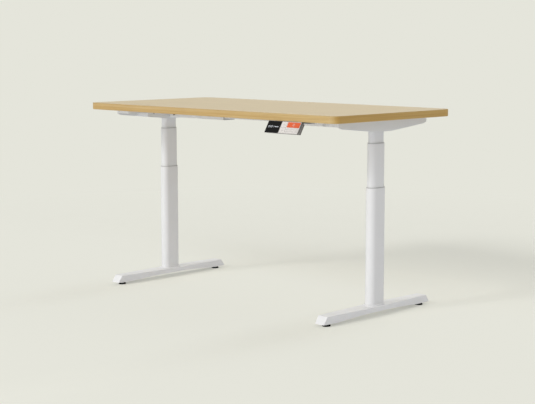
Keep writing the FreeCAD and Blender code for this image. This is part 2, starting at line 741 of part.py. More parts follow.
# ---------------------------------------------------------------- handset
HANDSET_X = "(desktop_wide / 2 - handset_inset)"
HANDSET_Y = "(%s - desktop_deep / 2)" % DESK_Y
WINDOW_LEFT = "(face_margin - handset_wide / 2)"
WINDOW_RIGHT = "(%s + window_wide)" % WINDOW_LEFT
FACE_RIGHT = "(handset_wide / 2 - face_margin)"
FACE_LOW = "(face_margin - handset_tall)"
FACE_HIGH = "(-face_margin)"
ARROW_LEFT = "(%s + key_rib)" % WINDOW_RIGHT
ARROW_RIGHT = "(%s + arrow_key_wide)" % ARROW_LEFT
LARGE_LEFT = "(%s + key_rib)" % ARROW_RIGHT
KEY_RIGHT = "(%s - key_rib)" % FACE_RIGHT
KEY_HIGH = "(%s - key_rib)" % FACE_HIGH
KEY_LOW = "(%s + key_rib)" % FACE_LOW
ARROW_TALL = "((%s - %s - key_rib) / 2)" % (KEY_HIGH, KEY_LOW)
MEMORY_HIGH = "(%s - large_key_tall - key_rib)" % KEY_HIGH
MEMORY_TALL = "((%s - %s - 2 * key_rib) / 3)" % (MEMORY_HIGH, KEY_LOW)


def handset_body(label):
    """A body whose own Z is the keypad's outward normal and whose own Y runs up its face."""
    body = new_body(label, HANDSET_X, HANDSET_Y, "%s - handset_gap" % DESKTOP_UNDER)
    body.Placement = Placement(Vector(0, 0, 0), Rotation(Vector(1, 0, 0), 45))
    body.setExpression("Placement.Rotation.Angle", bound("90 - handset_tilt"))
    return body


def key_frames():
    """Each key's name and its opening in the face: left, right, low, high."""
    frames = [("up_key", ARROW_LEFT, ARROW_RIGHT, "(%s - %s)" % (KEY_HIGH, ARROW_TALL), KEY_HIGH),
              ("down_key", ARROW_LEFT, ARROW_RIGHT, KEY_LOW, "(%s + %s)" % (KEY_LOW, ARROW_TALL)),
              ("large_key", LARGE_LEFT, KEY_RIGHT, "(%s - large_key_tall)" % KEY_HIGH, KEY_HIGH)]
    for i in range(3):
        high = "(%s - %d * (%s + key_rib))" % (MEMORY_HIGH, i, MEMORY_TALL)
        low = "(%s - %s)" % (high, MEMORY_TALL)
        frames.append(("memory_key_%d" % (i + 1), LARGE_LEFT, KEY_RIGHT, low, high))
    return frames


def handset():
    housing = handset_body("handset_housing")
    profile = new_sketch(housing, "YZ")
    outline(profile, [("0", "0"), ("-handset_tall", "0"),
                      ("-(handset_tall - handset_undercut)", "-handset_thick"),
                      ("0", "-handset_thick")])
    pad(housing, profile, "handset_wide", symmetric=True)
    soften(housing, "handset_edge", lambda edge: edge.BoundBox.XLength < 1)
    seat = new_sketch(housing, "XY")
    rectangle(seat, WINDOW_LEFT, FACE_RIGHT, FACE_LOW, FACE_HIGH)
    pocket(housing, seat, "window_thick")

    window = handset_body("handset_window")
    glass = new_sketch(window, "XY", "-window_thick")
    rectangle(glass, WINDOW_LEFT, WINDOW_RIGHT, FACE_LOW, FACE_HIGH)
    pad(window, glass, "window_thick")

    face = handset_body("handset_face")
    plan = new_sketch(face, "XY", "-window_thick")
    rectangle(plan, WINDOW_RIGHT, FACE_RIGHT, FACE_LOW, FACE_HIGH)
    wells = new_sketch(housing, "XY")
    for name, left, right, low, high in key_frames():
        rectangle(plan, left, right, low, high)
        rectangle(wells, left, right, low, high)
        key = handset_body(name)
        cap = new_sketch(key, "XY", "-key_deep")
        rectangle(cap, left + " + key_gap", right + " - key_gap",
                  low + " + key_gap", high + " - key_gap")
        pad(key, cap, "key_deep + key_proud")
    pad(face, plan, "window_thick")
    pocket(housing, wells, "key_deep + key_travel + key_gap")


def handset_fixing():
    """Plate on the desktop's underside, and the wedge that holds the keypad at its slope."""
    plate = new_body("handset_plate", "%s + plate_shift" % HANDSET_X, HANDSET_Y)
    plan = new_sketch(plate, "XY", "%s - plate_thick" % DESKTOP_UNDER)
    centred_rectangle(plan, "plate_wide", "plate_deep", "0", "plate_back + plate_deep / 2")
    pad(plate, plan, "plate_thick")

    base = handset_body("handset_base")
    wedge = new_sketch(base, "YZ")
    slope = "tan(handset_tilt * 1 deg)"
    drop = "((plate_thick - handset_gap) / cos(handset_tilt * 1 deg))"
    outline(wedge, [("handset_thick * %s - %s" % (slope, drop), "-handset_thick"),
                    ("-base_tall", "-handset_thick"),
                    ("-base_tall", "-(handset_thick + base_nose)"),
                    ("base_foot * %s - %s - base_nose" % (slope, drop), "-base_foot"),
                    ("base_foot * %s - %s" % (slope, drop), "-base_foot")])
    pad(base, wedge, "base_wide", symmetric=True)


# ---------------------------------------------------------------- the whole desk
for side, way in (("left", "-"), ("right", "")):
    column_x = way + "column_spacing / 2"
    foot(side, column_x)
    levelling_foot(side, "front", column_x, "-")
    levelling_foot(side, "back", column_x, "+")
    column_base(side, column_x)
    middle_stage(side, column_x)
    inner_stage(side, column_x)
    side_bracket(side, column_x, way)
    outer_rail(side, way)
    drive_unit(side, column_x, "-" if way == "" else "")
crossbar()
wood_screws()
desktop()
control_box()
handset()
handset_fixing()
doc.recompute()

for thing in doc.Objects:
    if "Invalid" in thing.State or "Error" in thing.State:
        raise ValueError("%s did not build: %s" % (thing.Label, thing.State))
for body in made:
    if body.Shape.isNull() or not body.Shape.isValid():
        raise ValueError("%s has no valid shape" % body.Label)
for body in made:
    body.Shape.exportStep(os.path.join("parts", body.Label + ".step"))
    box = body.Shape.BoundBox
    print("%-22s solids %d volume %.0f X %.1f..%.1f Y %.1f..%.1f Z %.1f..%.1f"
          % (body.Label, len(body.Shape.Solids), body.Shape.Volume,
             box.XMin, box.XMax, box.YMin, box.YMax, box.ZMin, box.ZMax))
print(len(made), "pieces")
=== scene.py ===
import json
import math

import bmesh
import bpy
from mathutils import Matrix, Vector


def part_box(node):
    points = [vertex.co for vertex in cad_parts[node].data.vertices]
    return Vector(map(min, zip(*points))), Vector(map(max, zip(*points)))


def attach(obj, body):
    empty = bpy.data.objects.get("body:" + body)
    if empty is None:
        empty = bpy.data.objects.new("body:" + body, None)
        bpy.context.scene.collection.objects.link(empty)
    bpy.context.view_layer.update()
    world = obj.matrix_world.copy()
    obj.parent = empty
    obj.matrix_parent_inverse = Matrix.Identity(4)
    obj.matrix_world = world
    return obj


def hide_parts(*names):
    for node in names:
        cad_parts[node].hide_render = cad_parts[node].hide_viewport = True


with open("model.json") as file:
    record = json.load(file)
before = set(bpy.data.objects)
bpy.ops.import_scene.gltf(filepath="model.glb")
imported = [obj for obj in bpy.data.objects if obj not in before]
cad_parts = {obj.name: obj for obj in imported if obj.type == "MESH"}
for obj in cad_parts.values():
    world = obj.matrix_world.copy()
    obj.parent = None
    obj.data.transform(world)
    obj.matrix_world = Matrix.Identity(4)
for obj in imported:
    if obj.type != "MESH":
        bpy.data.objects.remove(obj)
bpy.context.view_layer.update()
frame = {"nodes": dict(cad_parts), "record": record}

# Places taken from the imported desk, in metres.
TOP_LOW, TOP_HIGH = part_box("desktop")
MIDDLE_Y = (TOP_LOW.y + TOP_HIGH.y) / 2
FOOT_LOW, FOOT_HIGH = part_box("right_foot")
FOOT_X = (FOOT_LOW.x + FOOT_HIGH.x) / 2
BRACKET_LOW, BRACKET_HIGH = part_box("right_side_bracket")

DOWN = Vector((0.0, 0.0, -1.0))
STAND_UP = Matrix.Rotation(math.pi / 2, 4, "X")
QUARTER_TURN = Matrix.Rotation(math.pi / 2, 3, "Z")


def add_object(name, data):
    """A new object in the scene, showing the data."""
    made = bpy.data.objects.new(name, data)
    bpy.context.scene.collection.objects.link(made)
    return made


# ------------------------------------------------------------------ camera
def make_camera():
    """A long lens, a little above the desktop, in front of the desk and to its right."""
    camera = bpy.data.cameras.new("desk_camera")
    camera.sensor_width = 36.0
    camera.lens = 87.71
    camera.clip_end = 400.0
    holder = add_object("desk_camera", camera)
    holder.location = (4.01998, MIDDLE_Y - 4.05846, 1.13981)
    holder.rotation_euler = (math.radians(82.75), 0.0, math.radians(44.5))
    bpy.context.scene.camera = holder


make_camera()


# ------------------------------------------------------------------ node helpers
def feed(tree, socket, value):
    """Join an output to a socket, or type a plain value into it."""
    if isinstance(value, bpy.types.NodeSocket):
        tree.links.new(value, socket)
    else:
        socket.default_value = value


def maths(tree, kind, *values):
    """One step of arithmetic, in a shader tree or a geometry tree."""
    node = tree.nodes.new("ShaderNodeMath")
    node.operation = kind
    for socket, value in zip(node.inputs, values):
        feed(tree, socket, value)
    return node.outputs[0]


# The range of a noise value over which a tone changes: a wide one, and one with clearer borders.
WIDE = (0.3, 0.7)
NARROW = (0.35, 0.65)


class Finish:
    """A node material under construction, with its Principled shader ready."""

    def __init__(self, name, colour, roughness, metallic=0.0):
        self.material = bpy.data.materials.new(name)
        self.material.use_nodes = True
        self.tree = self.material.node_tree
        self.nodes = self.tree.nodes
        self.nodes.clear()
        self.output = self.nodes.new("ShaderNodeOutputMaterial")
        self.shader = self.nodes.new("ShaderNodeBsdfPrincipled")
        self.shader.inputs["Base Color"].default_value = (*colour, 1.0)
        self.shader.inputs["Roughness"].default_value = roughness
        self.shader.inputs["Metallic"].default_value = metallic
        self.link(self.shader.outputs["BSDF"], self.output.inputs["Surface"])
        self.where = self.nodes.new("ShaderNodeTexCoord").outputs["Object"]
        self.soft = None

    def link(self, source, target):
        """Join two sockets of this material."""
        self.tree.links.new(source, target)

    def lead(self, name, value):
        """Lead a worked out value into an input of the shader."""
        self.link(value, self.shader.inputs[name])

    def stretched(self, scale):
        """Where a point lies on the desk, stretched by its own factor along each axis."""
        node = self.nodes.new("ShaderNodeMapping")
        node.inputs["Scale"].default_value = scale
        self.link(self.where, node.inputs["Vector"])
        return node.outputs["Vector"]

    def noise(self, vector, scale, detail, roughness, distortion=0.0):
        """Soft random tone, from 0 to 1."""
        node = self.nodes.new("ShaderNodeTexNoise")
        node.inputs["Scale"].default_value = scale
        node.inputs["Detail"].default_value = detail
        node.inputs["Roughness"].default_value = roughness
        node.inputs["Distortion"].default_value = distortion
        self.link(vector, node.inputs["Vector"])
        return node.outputs["Fac"]

    def spread(self, value, low, high, from_low=0.0, from_high=1.0):
        """Carry a value from one range over to another, and stop it at both ends."""
        node = self.nodes.new("ShaderNodeMapRange")
        feed(self.tree, node.inputs["Value"], value)
        node.inputs["From Min"].default_value = from_low
        node.inputs["From Max"].default_value = from_high
        node.inputs["To Min"].default_value = low
        node.inputs["To Max"].default_value = high
        return node.outputs["Result"]

    def ramp(self, value, stops):
        """Colours that follow a value, each at its own place."""
        node = self.nodes.new("ShaderNodeValToRGB")
        self.link(value, node.inputs["Fac"])
        elements = node.color_ramp.elements
        while len(elements) < len(stops):
            elements.new(0.5)
        for element, (place, colour) in zip(elements, stops):
            element.position = place
            element.color = (*colour, 1.0)
        return node.outputs["Color"]

    def mix(self, amount, first, second, blend="MIX"):
        """Two colours mixed. Of the node's sockets 0 is the amount, and 6 and 7 are the colours."""
        node = self.nodes.new("ShaderNodeMix")
        node.data_type = "RGBA"
        node.blend_type = blend
        for number, value in ((0, amount), (6, first), (7, second)):
            feed(self.tree, node.inputs[number], value)
        return node.outputs[2]

    def maths(self, kind, *values):
        """One step of arithmetic in this material."""
        return maths(self.tree, kind, *values)

    def parts(self, vector):
        """The X, Y and Z of a vector."""
        node = self.nodes.new("ShaderNodeSeparateXYZ")
        self.link(vector, node.inputs[0])
        return node.outputs

    def facing(self, axis):
        """How squarely the surface faces along an axis, either way, from 0 to 1."""
        node = self.nodes.new("ShaderNodeNewGeometry")
        return self.maths("ABSOLUTE", self.parts(node.outputs["True Normal"])[axis])

    def edge(self, radius):
        """1 along the sharp edges, within about the radius, and 0 on flat faces."""
        self.soft = self.nodes.new("ShaderNodeBevel")
        self.soft.samples = 6
        self.soft.inputs["Radius"].default_value = radius
        plain = self.nodes.new("ShaderNodeNewGeometry")
        node = self.nodes.new("ShaderNodeVectorMath")
        node.operation = "DOT_PRODUCT"
        self.link(self.soft.outputs["Normal"], node.inputs[0])
        self.link(plain.outputs["Normal"], node.inputs[1])
        return self.spread(node.outputs["Value"], 1.0, 0.0, 0.80, 0.99)

    def worn_edge(self, radius, patches, least, most):
        """Wear along the sharp edges, uneven from patch to patch."""
        return self.maths("MULTIPLY", self.edge(radius),
                          self.spread(patches, least, most, 0.4, 0.65))

    def bump(self, height, strength, distance):
        """Fine relief, on top of the softened edges where there are any."""
        node = self.nodes.new("ShaderNodeBump")
        node.inputs["Strength"].default_value = strength
        node.inputs["Distance"].default_value = distance
        self.link(height, node.inputs["Height"])
        if self.soft is not None:
            self.link(self.soft.outputs["Normal"], node.inputs["Normal"])
        self.lead("Normal", node.outputs["Normal"])

    def tint(self, colour, tone, worn, rubbed):
        """Base colour with a drifting tone, and the rubbed colour where it is worn."""
        coat = self.mix(1.0, (*colour, 1.0), tone, "MULTIPLY")
        self.lead("Base Color", self.mix(worn, coat, (*rubbed, 1.0)))

    def polish(self, cloud, roughness, drift, worn, smoother):
        """Roughness that drifts with the cloud and falls where it is worn."""
        rough = self.spread(cloud, roughness - drift, roughness + drift)
        self.lead("Roughness", self.maths("SUBTRACT", rough,
                                          self.maths("MULTIPLY", worn, smoother)))


# ------------------------------------------------------------------ finishes
# The glue line shows this far below the top face.
VENEER_THICK = 0.0016


def oak_veneer(finish, grain, pores):
    """The lying faces: straight grain along the desk, broad clouds of tone and dark pores."""
    cloud = finish.noise(finish.stretched((0.8, 3.0, 1.0)), 1.0, 2.0, 0.5)
    veneer = finish.ramp(grain, [(0.28, (0.515, 0.398, 0.219)), (0.50, (0.556, 0.440, 0.254)),
                                 (0.72, (0.588, 0.474, 0.282))])
    veneer = finish.mix(finish.spread(cloud, 0.0, 0.35, *WIDE), veneer,
                        (0.600, 0.463, 0.262, 1.0))
    return finish.mix(finish.spread(pores, 0.0, 0.36, 0.60, 0.75), veneer,
                      (0.360, 0.250, 0.120, 1.0))


def edge_band(finish, along):
    """The rim: stripes that run round the desk, paler to the right along its front and back."""
    stripes = finish.noise(finish.stretched((1.3, 1.3, 150.0)), 1.0, 4.0, 0.6, 0.25)
    streaks = finish.noise(finish.stretched((7.0, 7.0, 620.0)), 1.0, 2.0, 0.5)
    band = finish.ramp(stripes, [(0.30, (0.415, 0.255, 0.086)), (0.48, (0.476, 0.318, 0.120)),
                                 (0.68, (0.526, 0.376, 0.175))])
    band = finish.mix(finish.spread(streaks, 0.0, 0.40, 0.52, 0.72), band,
                      (0.360, 0.204, 0.064, 1.0))
    ends = finish.spread(finish.facing("X"), 0.0, 1.0, 0.55, 0.85)
    paler = finish.maths("SUBTRACT", finish.spread(along, 0.0, 1.0, 0.1, 0.7), ends)
    band = finish.mix(finish.maths("MAXIMUM", paler, 0.0), band, (1.12, 1.20, 1.32, 1.0),
                      "MULTIPLY")
    return finish.mix(ends, band, (1.05, 0.99, 0.74, 1.0), "MULTIPLY")


def light_wood():
    """Light oak veneer, and an edge band with a thin dark glue line below the top face."""
    finish = Finish("light_wood", (0.60, 0.46, 0.27), 0.45)
    finish.shader.inputs["Specular IOR Level"].default_value = 0.38
    place = finish.parts(finish.where)
    upright = finish.spread(finish.facing("Z"), 1.0, 0.0, 0.45, 0.75)
    grain = finish.noise(finish.stretched((0.9, 34.0, 1.0)), 1.0, 6.0, 0.62, 0.4)
    fibre = finish.noise(finish.stretched((7.0, 520.0, 520.0)), 1.0, 2.0, 0.5)
    pores = finish.noise(finish.stretched((28.0, 900.0, 900.0)), 1.0, 1.0, 0.5)
    colour = finish.mix(upright, oak_veneer(finish, grain, pores), edge_band(finish, place["X"]))
    from_glue = finish.maths("SUBTRACT", place["Z"], TOP_HIGH.z - VENEER_THICK)
    glue = finish.spread(finish.maths("ABSOLUTE", from_glue), 0.45, 0.0, 0.0001, 0.0006)
    colour = finish.mix(finish.maths("MULTIPLY", glue, upright), colour, (0.30, 0.19, 0.09, 1.0))
    fine = finish.spread(fibre, 0.945, 1.055, *WIDE)
    finish.lead("Base Color", finish.mix(1.0, colour, fine, "MULTIPLY"))
    finish.lead("Roughness", finish.spread(grain, 0.40, 0.50))
    finish.bump(finish.maths("SUBTRACT", fibre, pores), 0.12, 0.0002)
    return finish.material


def powder_coat(name, colour, roughness=0.5):
    """Baked powder coat: fine orange peel, a slow drift of tone, polished edges.

    The feet are painted paler than the columns, as painted bounce light from the floor, and
    everything from the brackets' underside up is painted paler and a little bluer, as painted light
    under the desk.
    """
    finish = Finish(name, colour, roughness)
    peel = finish.noise(finish.where, 1400.0, 2.0, 0.5)
    cloud = finish.noise(finish.where, 7.0, 3.0, 0.5)
    patches = finish.noise(finish.where, 34.0, 3.0, 0.6)
    worn = finish.worn_edge(0.0011, patches, 0.1, 0.8)
    height = finish.parts(finish.where)["Z"]
    # Painted light: the paler feet stand in for bounce light from the floor, and the paler, bluer
    # tint from the brackets' underside up stands in for light under the desk.
    foot = finish.spread(height, 1.0, 0.0, FOOT_HIGH.z, FOOT_HIGH.z + 0.006)
    bracket = finish.spread(height, 0.0, 1.0, BRACKET_LOW.z - 0.002, BRACKET_LOW.z)
    painted_fill_light = finish.mix(foot, (1.0, 1.0, 1.0, 1.0), (1.06, 1.06, 1.06, 1.0))
    painted_fill_light = finish.mix(bracket, painted_fill_light, (1.04, 1.06, 1.08, 1.0))
    tone = finish.mix(1.0, painted_fill_light, finish.spread(cloud, 0.985, 1.01, *WIDE), "MULTIPLY")
    finish.tint(colour, tone, worn, [min(0.9, channel * 1.10) for channel in colour])
    finish.polish(cloud, roughness, 0.05, worn, 0.15)
    finish.bump(peel, 0.10, 0.0001)
    return finish.material


def moulded(name, colour, roughness, grain=0.12, rub=1.25, shine=0.5):
    """Moulded plastic with a spark eroded grain, shinier and paler along its edges."""
    finish = Finish(name, colour, roughness)
    finish.shader.inputs["Specular IOR Level"].default_value = shine
    spark = finish.noise(finish.where, 2600.0, 2.0, 0.6)
    cloud = finish.noise(finish.where, 40.0, 2.0, 0.5)
    worn = finish.worn_edge(0.0005, cloud, 0.2, 0.8)
    tone = finish.spread(cloud, 0.97, 1.02, *WIDE)
    finish.tint(colour, tone, worn, [min(0.9, channel * rub) for channel in colour])
    finish.polish(cloud, roughness, 0.04, worn, 0.1)
    finish.bump(spark, grain, 0.0001)
    return finish.material


def bright_metal(name, colour, roughness):
    """Plated or machined metal with fine turning marks and a few handling stains."""
    finish = Finish(name, colour, roughness, 1.0)
    marks = finish.noise(finish.stretched((60.0, 60.0, 3200.0)), 1.0, 2.0, 0.5)
    stains = finish.noise(finish.where, 90.0, 3.0, 0.6)
    finish.tint(colour, finish.spread(stains, 0.88, 1.04, *NARROW), 0.0, colour)
    finish.lead("Roughness", finish.spread(marks, roughness - 0.08, roughness + 0.10))
    finish.bump(marks, 0.08, 0.0001)
    return finish.material


def black_oxide(name, colour):
    """Blackened screws. Those on the brackets' inner faces are paler, worn by the driver."""
    finish = Finish(name, colour, 0.5)
    finish.shader.inputs["Specular IOR Level"].default_value = 0.15
    stains = finish.noise(finish.where, 400.0, 3.0, 0.6)
    from_middle = finish.maths("ABSOLUTE", finish.parts(finish.where)["X"])
    inner_face = finish.spread(from_middle, 0.0, 1.0, FOOT_X - 0.052, FOOT_X - 0.046)
    finish.tint(colour, finish.spread(stains, 0.8, 1.2, *NARROW), inner_face, (0.50, 0.50, 0.50))
    finish.lead("Roughness", finish.spread(stains, 0.42, 0.58))
    finish.bump(stains, 0.1, 0.0001)
    return finish.material


def small_lamps(name, colour):
    """The lit strokes of the display, behind its dark window."""
    finish = Finish(name, colour, 0.4)
    cloud = finish.noise(finish.where, 900.0, 2.0, 0.5)
    finish.tint(colour, finish.spread(cloud, 0.85, 1.05, *WIDE), 0.0, colour)
    finish.shader.inputs["Emission Color"].default_value = (0.80, 0.88, 1.0, 1.0)
    finish.shader.inputs["Emission Strength"].default_value = 0.12
    finish.bump(cloud, 0.05, 0.0001)
    return finish.material


FINISHES = {
    "light_wood": light_wood(),
    "white_steel": powder_coat("white_steel", (0.742, 0.744, 0.748)),
    "dark_metal": powder_coat("dark_metal", (0.04, 0.04, 0.045), 0.4),
    "zinc": bright_metal("zinc", (0.70, 0.70, 0.69), 0.32),
    "cast_aluminium": bright_metal("cast_aluminium", (0.60, 0.60, 0.61), 0.5),
    "black_screw": black_oxide("black_screw", (0.005, 0.005, 0.006)),
    "lit_digits": small_lamps("lit_digits", (0.62, 0.65, 0.68)),
    "grey_plastic": moulded("grey_plastic", (0.46, 0.46, 0.455), 0.5),
    "dark_grey_plastic": moulded("dark_grey_plastic", (0.175, 0.165, 0.155), 0.5),
    "white_plastic": moulded("white_plastic", (0.68, 0.645, 0.61), 0.45),
    "glide_plastic": moulded("glide_plastic", (0.74, 0.74, 0.70), 0.35),
    "orange_plastic": moulded("orange_plastic", (0.68, 0.115, 0.036), 0.5, rub=1.15, shine=0.3),
    "black_plastic": moulded("black_plastic", (0.020, 0.020, 0.021), 0.55, rub=2.0, shine=0.35),
    "gloss_black": moulded("gloss_black", (0.003, 0.003, 0.0035), 0.16, grain=0.01, rub=1.5,
                           shine=0.12),
    "rubber": moulded("rubber", (0.003, 0.003, 0.003), 0.75, grain=0.3, rub=2.0, shine=0.06),
}


def paint_cad_nodes():
    """Each part gets the finish of its slot; the levelling pads are a softer, deeper black."""
    for entry in frame["record"]["subparts"]:
        finish = "rubber" if entry["node"].endswith("_pad") else entry["material_slot"]
        materials = frame["nodes"][entry["node"]].data.materials
        materials.clear()
        materials.append(FINISHES[finish])


paint_cad_nodes()


# ------------------------------------------------------------------ making pieces
def settle(name, mesh, body, slot, finish):
    """A finished piece, drawn where it belongs, riding on one body of the desk."""
    made = add_object(name, mesh)
    mesh.materials.clear()
    mesh.materials.append(FINISHES[finish or slot])
    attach(made, body)
    return made


def closed_mesh(name, shape):
    """The shape as a mesh with its faces turned outwards."""
    bmesh.ops.recalc_face_normals(shape, faces=shape.faces)
    mesh = bpy.data.meshes.new(name)
    shape.to_mesh(mesh)
    shape.free()
    return mesh


def piece(name, shape, body, slot, finish=None):
    """A shape settled on its body. Its finish has the name of its slot, unless another is given."""
    return settle(name, closed_mesh(name, shape), body, slot, finish)


def join_rings(shape, first, second):
    """Four sided faces from one ring of corners to the next."""
    for i in range(len(first)):
        j = (i + 1) % len(first)
        shape.faces.new((first[i], first[j], second[j], second[i]))


def prism(shape, corners, heights, place):
    """A closed block on the given corners, between two heights of its own frame."""
    rings = [[shape.verts.new(place @ Vector((x, y, z))) for x, y in corners] for z in heights]
    shape.faces.new(reversed(rings[0]))
    shape.faces.new(rings[1])
    join_rings(shape, *rings)


def bar(shape, start, end, width, heights, place):
    """A short stroke with pointed ends, as in a segment of a digit."""
    start, end = Vector(start), Vector(end)
    along = (end - start).normalized() * width / 2
    side = Vector((-along.y, along.x))
    corners = [start, start + along - side, end - along - side, end, end - along + side,
               start + along + side]
    prism(shape, corners, heights, place)


def washer(shape, centre, inner, outer, heights, place, count):
    """A flat ring with square edges."""
    low, high = heights
    rings = []
    for radius, z in ((inner, low), (outer, low), (outer, high), (inner, high)):
        spots = [(centre[0] + radius * math.cos(turn), centre[1] + radius * math.sin(turn), z)
                 for turn in (2 * math.pi * i / count for i in range(count))]
        rings.append([shape.verts.new(place @ Vector(spot)) for spot in spots])
    for first, second in zip(rings, rings[1:] + rings[:1]):
        join_rings(shape, first, second)


def box_corners(left, right, low, high, cut):
    """A rectangle, with its corners cut off."""
    return [(left + cut, low), (right - cut, low), (right, low + cut), (right, high - cut),
            (right - cut, high), (left + cut, high), (left, high - cut), (left, low + cut)]


# ------------------------------------------------------------------ keypad markings
KEYPAD_LEAN = math.radians(58.7)
KEYPAD_TALL = 0.054

# The ends of the seven strokes of a digit, in widths and half heights, and the strokes in use.
SEGMENTS = {"a": ((0, 2), (1, 2)), "b": ((1, 2), (1, 1)), "c": ((1, 1), (1, 0)),
            "d": ((0, 0), (1, 0)), "e": ((0, 1), (0, 0)), "f": ((0, 2), (0, 1)),
            "g": ((0, 1), (1, 1))}
DIGITS = {"1": "bc", "2": "abged", "3": "abgcd", "8": "abcdefg", "9": "abcdfg"}
DIGIT_LEAN = 0.09


def keypad_frame():
    """The keypad's own frame: x to the right, y up its face and z out of it, from its top edge."""
    low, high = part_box("handset_housing")
    top = Vector(((low.x + high.x) / 2, low.y + KEYPAD_TALL * math.cos(KEYPAD_LEAN), high.z))
    return Matrix.Translation(top) @ Matrix.Rotation(KEYPAD_LEAN, 4, "X")


KEYPAD = keypad_frame()


def on_keypad(node):
    """The low and high corners of a CAD node in the keypad's frame."""
    seen = frame["nodes"][node]
    spots = [KEYPAD.inverted() @ (seen.matrix_world @ vertex.co) for vertex in seen.data.vertices]
    axes = list(zip(*spots))
    return Vector([min(axis) for axis in axes]), Vector([max(axis) for axis in axes])


def print_heights(face, sunk=0.0002, proud=0.00012):
    """A printed sign is sunk a little into its face and stands a hair proud of it."""
    return face - sunk, face + proud


def digit(shape, character, left, low, wide, tall, stroke, heights):
    """One digit of seven strokes, leaning a little."""
    for name in DIGITS[character]:
        ends = []
        for x, y in SEGMENTS[name]:
            height = y * tall / 2
            ends.append((left + x * wide + height * DIGIT_LEAN, low + height))
        bar(shape, ends[0], ends[1], stroke, heights, KEYPAD)


def display():
    """Height read-out: three digits with a point, two small arrows and three memory marks."""
    low, high = on_keypad("handset_window")
    heights = print_heights(high.z, sunk=0.0003)
    middle = (low.y + high.y) / 2 + 0.0012
    tall, wide, stroke, pitch = 0.0076, 0.0046, 0.0011, 0.0082
    base = middle - tall / 2
    x = low.x + 0.0095
    shape = bmesh.new()
    for i, character in enumerate("839"):
        digit(shape, character, x + i * pitch, base, wide, tall, stroke, heights)
    dot, dot_half = x + 2 * pitch - 0.0019, 0.0006
    prism(shape, box_corners(dot - dot_half, dot + dot_half, base - 0.0005, base + 0.0007, 0.0002),
          heights, KEYPAD)
    x += 3 * pitch + 0.0055
    arrow_half, arrow_foot, arrow_tip = 0.0026, 0.0007, 0.0036
    for way in (1, -1):
        foot = middle + way * arrow_foot
        corners = [(x - arrow_half, foot), (x + arrow_half, foot), (x, middle + way * arrow_tip)]
        prism(shape, corners[::way], heights, KEYPAD)
    half, mark_pitch = 0.0021, 0.0064
    for i in range(3):
        spot = x + 0.0085 + i * mark_pitch
        prism(shape, box_corners(spot - half, spot + half, middle - half, middle + half, 0.0007),
              heights, KEYPAD)
    piece("display_digits", shape, "top", "white_plastic", "lit_digits")


def arrow(name, way):
    """A chevron on an arrow key, pointing up or down."""
    low, high = on_keypad(name)
    x, y = (low.x + high.x) / 2, (low.y + high.y) / 2 - way * 0.0014
    reach, rise, stroke = 0.0048, way * 0.0044, way * 0.0017
    corners = [(x - reach, y - stroke), (x, y + rise - stroke), (x + reach, y - stroke),
               (x + reach, y), (x, y + rise), (x - reach, y)]
    shape = bmesh.new()
    prism(shape, corners[::way], print_heights(high.z, proud=0.00015), KEYPAD)
    piece(name + "_arrow", shape, name + "_cap", "grey_plastic")


def memory_mark(number):
    """The number on a memory key, with a short rule beside it."""
    name = "memory_key_%d" % number
    low, high = on_keypad(name)
    heights = print_heights(high.z)
    tall, wide, stroke = 0.0036, 0.0021, 0.00055
    base = (low.y + high.y) / 2 - tall / 2
    shape = bmesh.new()
    digit(shape, str(number), low.x + 0.0060, base, wide, tall, stroke, heights)
    rule = [(high.x - inset, base + tall / 2) for inset in (0.0130, 0.0050)]
    bar(shape, rule[0], rule[1], 0.0005, heights, KEYPAD)
    piece(name + "_mark", shape, name + "_cap", "grey_plastic")


def large_key_mark():
    """A ring with a small open dot in it."""
    low, high = on_keypad("large_key")
    centre = ((low.x + high.x) / 2, (low.y + high.y) / 2)
    shape = bmesh.new()
    for inner, outer, count in ((0.0042, 0.0053, 24), (0.0004, 0.0013, 12)):
        washer(shape, centre, inner, outer, print_heights(high.z), KEYPAD, count)
    piece("large_key_mark", shape, "large_key_cap", "white_plastic")


def keypad_joint_line():
    """The pale line where the two shells of the keypad's housing meet, round three sides."""
    low, high = on_keypad("handset_housing")
    proud, cut = 0.00015, 0.0001
    down, half = 0.0098, 0.0006
    heights = (-down - half, -down + half)
    drawn_in, back = 0.0081, 0.020
    undercut = low.y + drawn_in * down / back
    shape = bmesh.new()
    for x, way in ((low.x, -1), (high.x, 1)):
        outline = box_corners(x - 0.0004, x + proud, undercut + 0.0004, high.y - 0.0012, cut)
        outline = [(way * (a - x) + x, b) for a, b in outline][::way]
        prism(shape, outline, heights, KEYPAD)
    run = box_corners(low.x - proud, high.x + proud, undercut - proud, undercut + 0.0005, cut)
    prism(shape, run, heights, KEYPAD)
    piece("keypad_joint_line", shape, "top", "grey_plastic")


display()
arrow("up_key", 1)
arrow("down_key", -1)
for number in (1, 2, 3):
    memory_mark(number)
large_key_mark()
keypad_joint_line()


# ------------------------------------------------------------------ repeated pieces
def new_tree(name, wanted):
    """A Geometry Nodes group with named inputs, and its first and last nodes."""
    tree = bpy.data.node_groups.new(name, "GeometryNodeTree")
    tree.interface.new_socket("Geometry", in_out="INPUT", socket_type="NodeSocketGeometry")
    for label, kind in wanted:
        tree.interface.new_socket(label, in_out="INPUT", socket_type="NodeSocket" + kind)
    tree.interface.new_socket("Geometry", in_out="OUTPUT", socket_type="NodeSocketGeometry")
    return tree, tree.nodes.new("NodeGroupInput"), tree.nodes.new("NodeGroupOutput")


def finish_tree(tree, inlet, outlet, geometry):
    """Every tree ends in Realize Instances and Set Material."""
    real = tree.nodes.new("GeometryNodeRealizeInstances")
    painted = tree.nodes.new("GeometryNodeSetMaterial")
    tree.links.new(geometry, real.inputs["Geometry"])
    tree.links.new(real.outputs["Geometry"], painted.inputs["Geometry"])
    tree.links.new(inlet.outputs["Finish"], painted.inputs["Material"])
    tree.links.new(painted.outputs["Geometry"], outlet.inputs["Geometry"])


